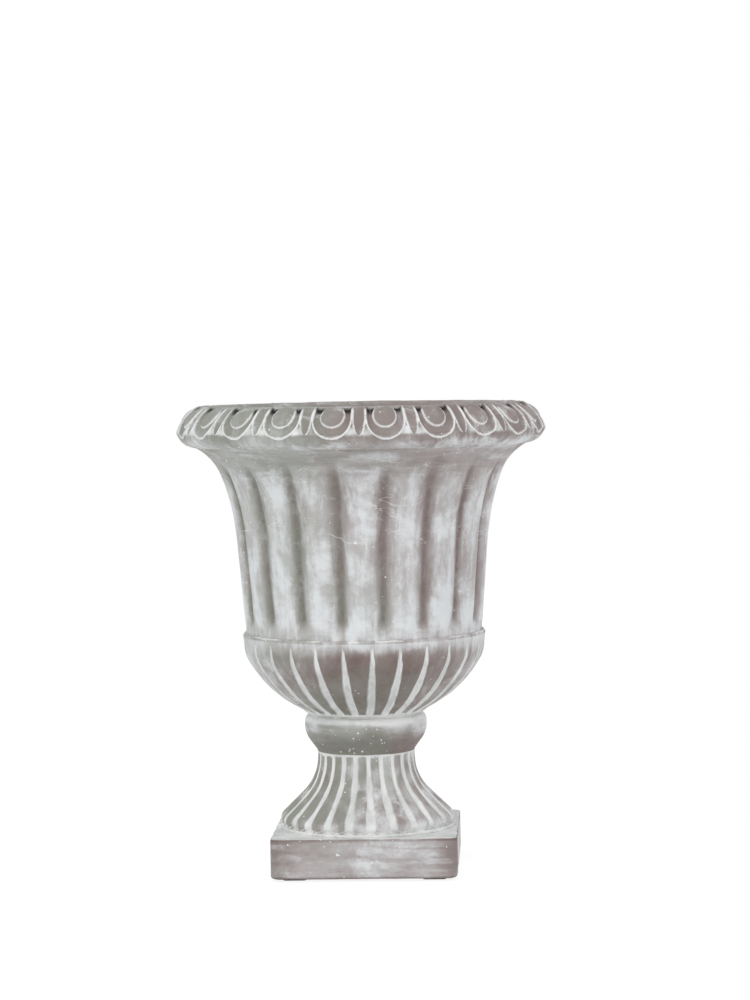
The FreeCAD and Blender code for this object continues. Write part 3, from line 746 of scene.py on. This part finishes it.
# ---------------------------------------------------------------- pedestal
LIP_RADIUS = 77.0 * MM
BORE_RADIUS = 24.0 * MM
SHOULDER = (36.0 * MM, 70.0 * MM)            # its outer edge in the hollow
HOLLOW_CORNER = (55.5 * MM, 32.8 * MM)
HOLLOW_MOUTH = 59.5 * MM
PLINTH_HALF = PEDESTAL_HIGH.x
TOP_EDGE, FOOT_EDGE = 1.4 * MM, 3.2 * MM     # radii of the plinth's worn edges
PLINTH_TOP = PEDESTAL_LOW.z + 34.8 * MM
LIP_TOP = PLINTH_TOP + 2.4 * MM
NOSE_RADIUS = 73.4 * MM
NOSE_TOP = LIP_TOP + 9.8 * MM
COVE_LEAN = 46.0
COVE_LINE = legs_line((NOSE_RADIUS, NOSE_TOP), -COVE_LEAN,
                      [(24.5 * MM, 0), (44.5 * MM, COVE_LEAN), (4.8 * MM, 0)], 1.3 * MM)
NECK_TOP = COVE_LINE[-1]
MOULDING_LINE = legs_line((NECK_TOP[0] + 0.3 * MM, NECK_TOP[1]), 0.0,
                          [(3.0 * MM, 36.0), (9.6 * MM, 0), (23.2 * MM, -48.0), (4.5 * MM, -78.0)], 1.2 * MM)


def rounded_square(angle, half, corner):
    """How far a square with round corners reaches from its centre, at an angle in degrees."""
    a = math.radians(angle)
    c, s = sorted((abs(math.cos(a)), abs(math.sin(a))), reverse=True)
    flat = half / c
    inner = half - corner
    if flat * s <= inner:
        return flat
    both = inner * (c + s)
    return both + math.sqrt(max(0.0, both * both - 2 * inner * inner + corner * corner))


class URN_OT_pedestal(bpy.types.Operator):
    """Casts the pedestal: moulding, reeded cove and square plinth"""

    bl_idname = "urn.pedestal"
    bl_label = "Pedestal"

    def execute(self, context):
        settings = context.scene.urn_pedestal
        casting = Casting(self.outline(), sectors=settings.reed_count, steps=24)
        casting.carve(lambda *where: self.tool(settings, *where))
        self.square(casting, settings)
        pedestal = casting.finish("pedestal_body")
        fit_piece(pedestal, "whitewashed_cement", "cement", "pedestal")
        return {"FINISHED"}

    def outline(self):
        low = PEDESTAL_LOW.z
        nose = bulged((NOSE_RADIUS, LIP_TOP), (NOSE_RADIUS, NOSE_TOP), 2.1 * MM, 0.6 * MM)[:-1]
        upper_edge = legs_line((PLINTH_HALF, PLINTH_TOP - TOP_EDGE), 0.0, [(TOP_EDGE, -90.0)], 0.5 * MM)
        lower_edge = legs_line((PLINTH_HALF - FOOT_EDGE, low), 90.0, [(FOOT_EDGE, -90.0)], 0.9 * MM)
        side = straight(lower_edge[-1], upper_edge[0], 1.6 * MM)[:-1]
        bottom = straight((HOLLOW_MOUTH, low), lower_edge[0], 2.5 * MM)[:-1]
        lip_foot, lip_edge = (LIP_RADIUS, PLINTH_TOP), (LIP_RADIUS, LIP_TOP)
        top = straight(upper_edge[-1], beside(lip_foot, -0.6, 0), 0.45 * MM)
        lip = [beside(lip_foot, 0, 0.6), beside(lip_edge, 0, -0.7), beside(lip_edge, -0.7, 0),
               beside(lip_edge, -1.8, 0)]
        seat = straight(MOULDING_LINE[-1], (BORE_RADIUS, MOULDING_LINE[-1][1]), 6 * MM)
        bore = straight(seat[-1], (BORE_RADIUS, SHOULDER[1]), 8 * MM)
        shoulder = straight(bore[-1], SHOULDER, 6 * MM)
        hollow = (straight(SHOULDER, HOLLOW_CORNER, 6 * MM)
                  + straight(HOLLOW_CORNER, (HOLLOW_MOUTH, low), 6 * MM)[:-1])
        return (zoned("bottom", [(HOLLOW_MOUTH, low)] + bottom)
                + zoned("side", lower_edge + side + upper_edge) + zoned("top", top) + zoned("lip", lip)
                + zoned("nose", nose) + zoned("reeds", COVE_LINE)
                + zoned("moulding", MOULDING_LINE + seat) + zoned("inside", bore + shoulder + hollow))

    def tool(self, settings, zone, r, z, angle, place):
        if zone in ("nose", "reeds"):
            return self.reed(settings, r, z, angle, place)
        if zone == "lip":
            return unevenness(place, 12 * MM, 0.4 * MM), {"groove": 0.8}
        if zone == "moulding":
            return self.moulding(z, angle, place)
        return 0.0, {}

    def moulding(self, z, angle, place):
        """The round moulding: white under the cup and on its sides, spattered in front, with painted light
        on its upper side and painted shade below.
        """
        top = MOULDING_LINE[-1][1]
        painted = smooth(z + unevenness(place, 15 * MM, 1.5 * MM), top - 10.0 * MM, top - 1.5 * MM)
        # Painted light on the upper side of the round; the rest gets painted shade through the valley mark
        lit = smooth(z + unevenness(place, 15 * MM, 4 * MM), top - 20 * MM, top - 3 * MM)
        sides = 0.5 - 0.5 * math.cos(math.radians(2 * angle - 10))
        sides *= lerp(0.35, 1.0, smooth(angle, -20.0, 40.0)) * smooth(z, top - 28 * MM, top - 8 * MM)
        crowd = smooth(abs(angle + 2.0), 34.0, 10.0)
        marks = {"groove": 0.95 * painted, "wash": 0.9 * sides + 0.7 * lit - 0.5, "level": 1.0,
                 "spatter": crowd, "shade_and_bare": 0.6 * (1 - sides) * (1 - lit)}
        return unevenness(place, 16 * MM, 0.35 * MM), marks

    def reed(self, settings, r, z, angle, place):
        """A reed, round at its foot, with paint in the groove beside it."""
        pitch = 2 * math.pi * r / settings.reed_count
        signed = across(angle, settings.reed_count, REED_GROOVE + 180.0 / settings.reed_count)
        share = clamp(abs(2 * signed) + unevenness(place, 15 * MM, 0.07))
        rise = clamp((z - LIP_TOP) / (4.0 * MM))
        half = math.sqrt(max(0.0, 1 - (1 - rise) ** 2)) + 0.001
        full = settings.reed_depth * pitch * lerp(0.5, 1.0, smooth(z, LIP_TOP, LIP_TOP + 20 * MM))
        body = (share / (0.97 * half)) ** 2.2
        ground = lerp(1.3, 1.0, rise)
        cut = max(0.0, soft_min(body, ground, 0.15))
        top = smooth(z, NECK_TOP[1] + 0.5 * MM, NECK_TOP[1] - 5 * MM)
        depth = full * cut * top + unevenness(place, 10 * MM, 0.2 * MM)
        wide = 0.66 + unevenness(place, 22 * MM, 0.16)
        groove = smooth(share, wide - (0.1 if signed > 0 else 0.28), wide + 0.16)
        between = smooth(body, 0.6, 1.0) * smooth(rise, 1.0, 0.5)
        height = z + unevenness(place, 6 * MM, 1.5 * MM)
        collar = 0.8 * smooth(height, NECK_TOP[1] - 3.2 * MM, NECK_TOP[1] - 1 * MM)
        wash = 0.9 * smooth(angle, -45.0, 5.0) - 0.6 + unevenness(place, 12 * MM, 0.7)
        wash += 0.4 * smooth(z, LIP_TOP + 14 * MM, LIP_TOP + 3 * MM)
        scallop = smooth(abs(z - LIP_TOP - (0.9 + 3.2 * share * share) * MM), 1.0 * MM, 0.3 * MM)
        crowd = smooth(abs(angle - 8.0), 14.0, 4.0)
        crowd *= smooth(z, NECK_TOP[1] - 26 * MM, NECK_TOP[1] - 12 * MM)
        marks = {"groove": max(groove, between, collar), "wash": wash, "spatter": crowd,
                 "rib_and_highlight": 0.85 * scallop}
        return depth, marks

    def square(self, casting, settings):
        """Draws the rows of the plinth out to a square, wears its edges and marks its paint."""
        for vert in casting.mesh.verts:
            zone, r, z = casting.line[vert[casting.row]]
            if zone not in ("bottom", "side", "top"):
                continue
            inner = {"bottom": HOLLOW_MOUTH, "side": 0.0, "top": LIP_RADIUS}[zone]
            reach = PLINTH_HALF - (FOOT_EDGE if zone == "bottom" else TOP_EDGE)
            squareness = 1.0 if zone == "side" else clamp((r - inner) / (reach - inner))
            angle = math.degrees(math.atan2(vert.co.x, -vert.co.y))
            away = Vector((vert.co.x, vert.co.y, 0)).normalized()
            vert.co = away * lerp(r, rounded_square(angle, r, settings.corner), squareness) + UP * z
            rub = squareness * settings.wear * (0.5 + noise.noise(vert.co / (11 * MM)))
            edge = max(smooth(z, PLINTH_TOP - 4 * MM, PLINTH_TOP),
                       smooth(z, PEDESTAL_LOW.z + 7 * MM, PEDESTAL_LOW.z))
            vert.co -= away * rub * (0.3 + edge)
            for name, value in self.plinth_marks(zone, z, angle, vert.co).items():
                vert[casting.masks[name]] = value

    def plinth_marks(self, zone, z, angle, place):
        """White along the top edge, a painted shade line under it and at the foot, and barer ends."""
        if zone == "top":
            return {"groove": 0.75, "level": 0.4, "wash": 0.6}
        # Painted shade in a thin line under the top edge and along the foot
        below = PLINTH_TOP - z + unevenness(place, 18 * MM, 0.6 * MM)
        line = smooth(below, 3.4 * MM, 2.0 * MM) * smooth(below, 0.2 * MM, 0.9 * MM)
        line = max(line, smooth(z, PEDESTAL_LOW.z + 3 * MM, PEDESTAL_LOW.z + 0.8 * MM))
        # The back face lies at the far end of y, so it is barer all over.
        ends = smooth(abs(place.x if abs(angle) < 45.0 else place.y), 50 * MM, 78 * MM)
        dots = smooth(z, PLINTH_TOP - 8 * MM, PLINTH_TOP - 1 * MM) * smooth(place.x, -10 * MM, -40 * MM)
        top = smooth(z, PLINTH_TOP - 0.7 * MM, PLINTH_TOP - 0.1 * MM)
        return {"shade_and_bare": 0.8 * line + 0.25 * ends, "groove": 0.8 * top, "wash": 0.4 - 0.75 * ends,
                "level": 1.0, "spatter": dots}


# ---------------------------------------------------------------- mortar and fastening
WASHER_HOLE = 4.3 * MM
NUT_HOLE, NUT_FACE = 4.05 * MM, 6.35 * MM    # radii
NUT_CHAMFER = 0.45 * MM                      # how far down it reaches
THREAD_PITCH, THREAD_DEPTH = 1.25 * MM, 0.65 * MM
ROD_BEVEL, ROD_CORE = 1.2 * MM, 0.6 * MM     # off its end's radius, and the radius left open at its middle
PAD_SIDE, PAD_CORNER, PAD_EDGE = 20 * MM, 3 * MM, 0.3 * MM


class URN_OT_bed(bpy.types.Operator):
    """Lays the mortar bed between the pedestal and the bowl"""

    bl_idname = "urn.bed"
    bl_label = "Mortar bed"

    def execute(self, context):
        low, high = BED_LOW.z, BED_HIGH.z
        outer = BED_HIGH.x
        foot, edge = (outer, low), (outer, high)
        line = [(BORE_RADIUS, low), foot, beside(foot, 0.3, 0.8), beside(edge, 0.3, -0.8), edge,
                (BORE_RADIUS, high)]
        casting = Casting(zoned("bed", line), sectors=8, steps=30)
        casting.carve(lambda zone, r, z, angle, place: (
            unevenness(place, 6 * MM, 0.4 * MM) if r > outer else 0.0, {}))
        fit_piece(casting.finish("mortar_bed"), "white_mortar", "mortar", "bedding_ring")
        return {"FINISHED"}


def washer(name, node, material, slot, chamfer):
    """A flat ring with broken edges in the place of a node."""
    low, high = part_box(node)
    outer = high.x
    line = [(WASHER_HOLE, low.z), (outer - chamfer, low.z), (outer, low.z + chamfer),
            (outer, high.z - chamfer), (outer - chamfer, high.z), (WASHER_HOLE, high.z)]
    ring = Casting(zoned("ring", line), sectors=4, steps=24)
    fit_piece(ring.finish(name, 30.0), material, slot, node)


def hexagon_nut(name, node):
    """A hexagon nut whose corners are turned off at both ends."""
    low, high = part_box(node)
    flats = high.x
    sector = math.radians(60)
    corner = flats / math.cos(sector / 2)
    middle = (NUT_HOLE + NUT_FACE) / 2
    half = [(NUT_HOLE, 0.0), (middle, 0.0), (NUT_FACE, 0.0), (corner, NUT_CHAMFER)]
    rows = [(r, low.z + z) for r, z in half] + [(r, high.z - z) for r, z in reversed(half)]
    mesh = bmesh.new()
    ring = bmesh.ops.create_circle(mesh, cap_ends=False, segments=96, radius=NUT_HOLE)["verts"]
    bmesh.ops.translate(mesh, verts=ring, vec=(0, 0, low.z))
    first = edges = mesh.edges[:]
    for radius, height in rows[1:]:
        grown = bmesh.ops.extrude_edge_only(mesh, edges=edges)["geom"]
        edges = [g for g in grown if isinstance(g, bmesh.types.BMEdge)]
        for vert in [g for g in grown if isinstance(g, bmesh.types.BMVert)]:
            angle = math.atan2(vert.co.y, vert.co.x)
            swing = (angle + math.pi * 2) % sector - sector / 2
            reach = min(radius, flats / math.cos(swing))
            vert.co = Vector((math.cos(angle) * reach, math.sin(angle) * reach, height))
    bmesh.ops.bridge_loops(mesh, edges=first + edges)
    bmesh.ops.recalc_face_normals(mesh, faces=mesh.faces)
    bmesh.ops.transform(mesh, matrix=Matrix.Rotation(sector / 2, 4, "Z"), verts=mesh.verts)
    fit_piece(finish_mesh(mesh, name, 25.0), "zinc_steel", "zinc_steel", node)


class URN_OT_fastening(bpy.types.Operator):
    """Makes the threaded rod, nuts and washers, and gives the clamp bar its steel finish"""

    bl_idname = "urn.fastening"
    bl_label = "Fastening"

    def execute(self, context):
        washer("rubber_seal", "seal_washer", "black_rubber", "black_rubber", 0.3 * MM)
        washer("floor_washer_plate", "floor_washer", "zinc_steel", "zinc_steel", 0.2 * MM)
        washer("bar_washer", "lower_washer", "zinc_steel", "zinc_steel", 0.15 * MM)
        hexagon_nut("hexagon_nut_upper", "upper_nut")
        hexagon_nut("hexagon_nut_lower", "lower_nut")
        self.rod()
        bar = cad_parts["clamp_bar"]
        bar.data.materials.clear()
        bar.data.materials.append(bpy.data.materials["zinc_steel"])
        return {"FINISHED"}

    def rod(self):
        low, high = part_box("tie_rod")
        foot, top = (high.x, low.z), (high.x, high.z)
        thread = straight(beside(foot, 0, 0.3), beside(top, 0, -0.3), THREAD_PITCH / 5)
        end = high.x - ROD_BEVEL
        line = (zoned("end", [(ROD_CORE, low.z), (end, low.z)]) + zoned("thread", thread)
                + zoned("end", [(end, high.z), (ROD_CORE, high.z)]))
        casting = Casting(line, sectors=4, steps=10)

        def cut(zone, r, z, angle, place):
            turn = (z / THREAD_PITCH - angle / 360.0) % 1.0
            return (THREAD_DEPTH * abs(2 * turn - 1) if zone == "thread" else 0.0), {}

        casting.carve(cut)
        fit_piece(casting.finish("threaded_rod", 30.0), "zinc_steel", "zinc_steel", "tie_rod")


class URN_OT_pads(bpy.types.Operator):
    """Makes the four rubber pads under the plinth"""

    bl_idname = "urn.pads"
    bl_label = "Foot pads"

    def execute(self, context):
        low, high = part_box("foot_pads")
        thick = high.z - low.z
        mesh = bmesh.new()
        for sx in (-1, 1):
            for sy in (-1, 1):
                centre = Vector((sx * (high.x - PAD_SIDE / 2), sy * (high.y - PAD_SIDE / 2),
                                 (low.z + high.z) / 2))
                shape = Matrix.Translation(centre) @ Matrix.Diagonal((PAD_SIDE, PAD_SIDE, thick, 1))
                bmesh.ops.create_cube(mesh, size=1.0, matrix=shape)
        upright = [e for e in mesh.edges if abs(e.verts[0].co.z - e.verts[1].co.z) > thick / 2]
        self.round_off(mesh, upright, PAD_CORNER, 5)
        self.round_off(mesh, [e for e in mesh.edges if e.calc_face_angle(0) > 1.0], PAD_EDGE, 2)
        fit_piece(finish_mesh(mesh, "rubber_pads"), "black_rubber", "black_rubber", "foot_pads")
        return {"FINISHED"}

    def round_off(self, mesh, edges, radius, segments):
        bmesh.ops.bevel(mesh, geom=edges, offset=radius, segments=segments, profile=0.5, affect="EDGES",
                        material=-1)


# ---------------------------------------------------------------- stage
FOCAL_PIXELS = 2950.0        # the photograph's focal length on its 1000 pixel high frame
FRAME_PIXELS = 1000.0
LONG_SENSOR = 36.0           # millimetres on the frame's long side
CAMERA_HEIGHT = 0.4447
CAMERA_YAW, CAMERA_DIP, CAMERA_ROLL = 0.254, 2.8, 1.0        # degrees past the axis, down and tilted
LIT_PLACE = Vector((0, 0, 0.22))             # the middle of the urn, where the lamps point
FLOOR_HALF, FLOOR_DROP = 6.0, 0.1 * MM       # half its side, and its gap under the pads
FLOOR_GLOW, FLOOR_WHITE = 1.2, 0.72          # strength and share of its plain white for the camera
WORLD_LIGHT = 0.62


class URN_OT_stage(bpy.types.Operator):
    """Sets the pale floor, the light and the camera"""

    bl_idname = "urn.stage"
    bl_label = "Stage"

    def execute(self, context):
        settings = context.scene.urn_stage
        self.floor()
        self.world(context.scene, settings)
        self.lamp("key_light", place=(-1.5, -2.2, 2.3), size=1.6, power=26.0 * settings.light)
        self.lamp("fill_light", place=(1.9, -1.7, 1.2), size=1.8, power=9.0 * settings.light)
        self.camera(context.scene, settings)
        context.scene.view_settings.view_transform = "Standard"
        return {"FINISHED"}

    def floor(self):
        mesh = bmesh.new()
        bmesh.ops.create_grid(mesh, x_segments=4, y_segments=4, size=FLOOR_HALF)
        bmesh.ops.translate(mesh, verts=mesh.verts, vec=(0, 0, -FLOOR_DROP))
        floor = finish_mesh(mesh, "floor")
        s = Shader(bpy.data.materials.new("pale_floor"))
        matt = s.node("ShaderNodeBsdfDiffuse", {}, {"Color": (*linear(240, 240, 240), 1.0)})
        glow = s.node("ShaderNodeEmission", {}, {"Color": (1.0, 1.0, 1.0, 1.0), "Strength": FLOOR_GLOW})
        camera, glossy, transmission = s.rays("Camera", "Glossy", "Transmission")
        seen = (camera + glossy + transmission).clamped() * FLOOR_WHITE
        s.end(s.node("ShaderNodeMixShader", {}, {0: seen, 1: matt, 2: glow}))
        floor.data.materials.append(s.owner)

    def world(self, scene, settings):
        """White for the camera and through glass, a soft even light for everything else."""
        scene.world = bpy.data.worlds.new("studio")
        s = Shader(scene.world)
        camera, transmission = s.rays("Camera", "Transmission")
        light = s.node("ShaderNodeBackground", {}, {"Color": (0.96, 0.98, 1.0, 1.0),
                                                    "Strength": WORLD_LIGHT * settings.light})
        white = s.node("ShaderNodeBackground", {}, {"Color": (1.0, 1.0, 1.0, 1.0)})
        seen = (camera + transmission).clamped()
        s.end(s.node("ShaderNodeMixShader", {}, {0: seen, 1: light, 2: white}), "ShaderNodeOutputWorld")

    def lamp(self, name, place, size, power):
        data = bpy.data.lights.new(name, "AREA")
        data.energy = power
        data.size = size
        lamp = bpy.data.objects.new(name, data)
        lamp.location = place
        lamp.rotation_euler = (LIT_PLACE - Vector(place)).to_track_quat("-Z", "Y").to_euler()
        bpy.context.scene.collection.objects.link(lamp)

    def camera(self, scene, settings):
        data = bpy.data.cameras.new("camera")
        data.lens = LONG_SENSOR * FOCAL_PIXELS / FRAME_PIXELS
        camera = bpy.data.objects.new("camera", data)
        scene.collection.objects.link(camera)
        distance, azimuth = settings.distance, settings.azimuth
        camera.location = (distance * math.sin(azimuth), -distance * math.cos(azimuth), CAMERA_HEIGHT)
        yaw = Matrix.Rotation(azimuth - math.radians(CAMERA_YAW), 4, "Z")
        dip = Matrix.Rotation(math.radians(90.0 - CAMERA_DIP), 4, "X")
        roll = Matrix.Rotation(math.radians(-CAMERA_ROLL), 4, "Z")
        camera.rotation_euler = (yaw @ dip @ roll).to_euler()
        data.clip_end = 50.0
        scene.camera = camera


# ---------------------------------------------------------------- panel and registration
class URN_PT_panel(bpy.types.Panel):
    """Lists what the urn is made of"""

    bl_label = "Garden urn"
    bl_idname = "URN_PT_panel"
    bl_space_type = "VIEW_3D"
    bl_region_type = "UI"
    bl_category = "Urn"

    def draw(self, context):
        layout = self.layout
        for group in GROUPS:
            box = layout.box()
            settings = getattr(context.scene, group)
            for name in settings.__annotations__:
                box.prop(settings, name)
        for operator in OPERATORS:
            layout.operator(operator.bl_idname)


GROUPS = {"urn_finish": UrnFinishSettings, "urn_bowl": UrnBowlSettings,
          "urn_pedestal": UrnPedestalSettings, "urn_stage": UrnStageSettings}
OPERATORS = (URN_OT_finishes, URN_OT_bowl, URN_OT_rim, URN_OT_pedestal, URN_OT_bed, URN_OT_fastening,
             URN_OT_pads, URN_OT_stage)


def register():
    for name, group in GROUPS.items():
        bpy.utils.register_class(group)
        setattr(bpy.types.Scene, name, bpy.props.PointerProperty(type=group))
    for cls in (*OPERATORS, URN_PT_panel):
        bpy.utils.register_class(cls)


def unregister():
    for cls in (URN_PT_panel, *reversed(OPERATORS)):
        bpy.utils.unregister_class(cls)
    for name, group in GROUPS.items():
        delattr(bpy.types.Scene, name)
        bpy.utils.unregister_class(group)


def main():
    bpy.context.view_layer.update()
    register()
    bpy.ops.urn.finishes()
    bpy.ops.urn.bowl()
    bpy.ops.urn.rim()
    bpy.ops.urn.pedestal()
    bpy.ops.urn.bed()
    bpy.ops.urn.fastening()
    bpy.ops.urn.pads()
    bpy.ops.urn.stage()


if __name__ == "__main__":
    main()
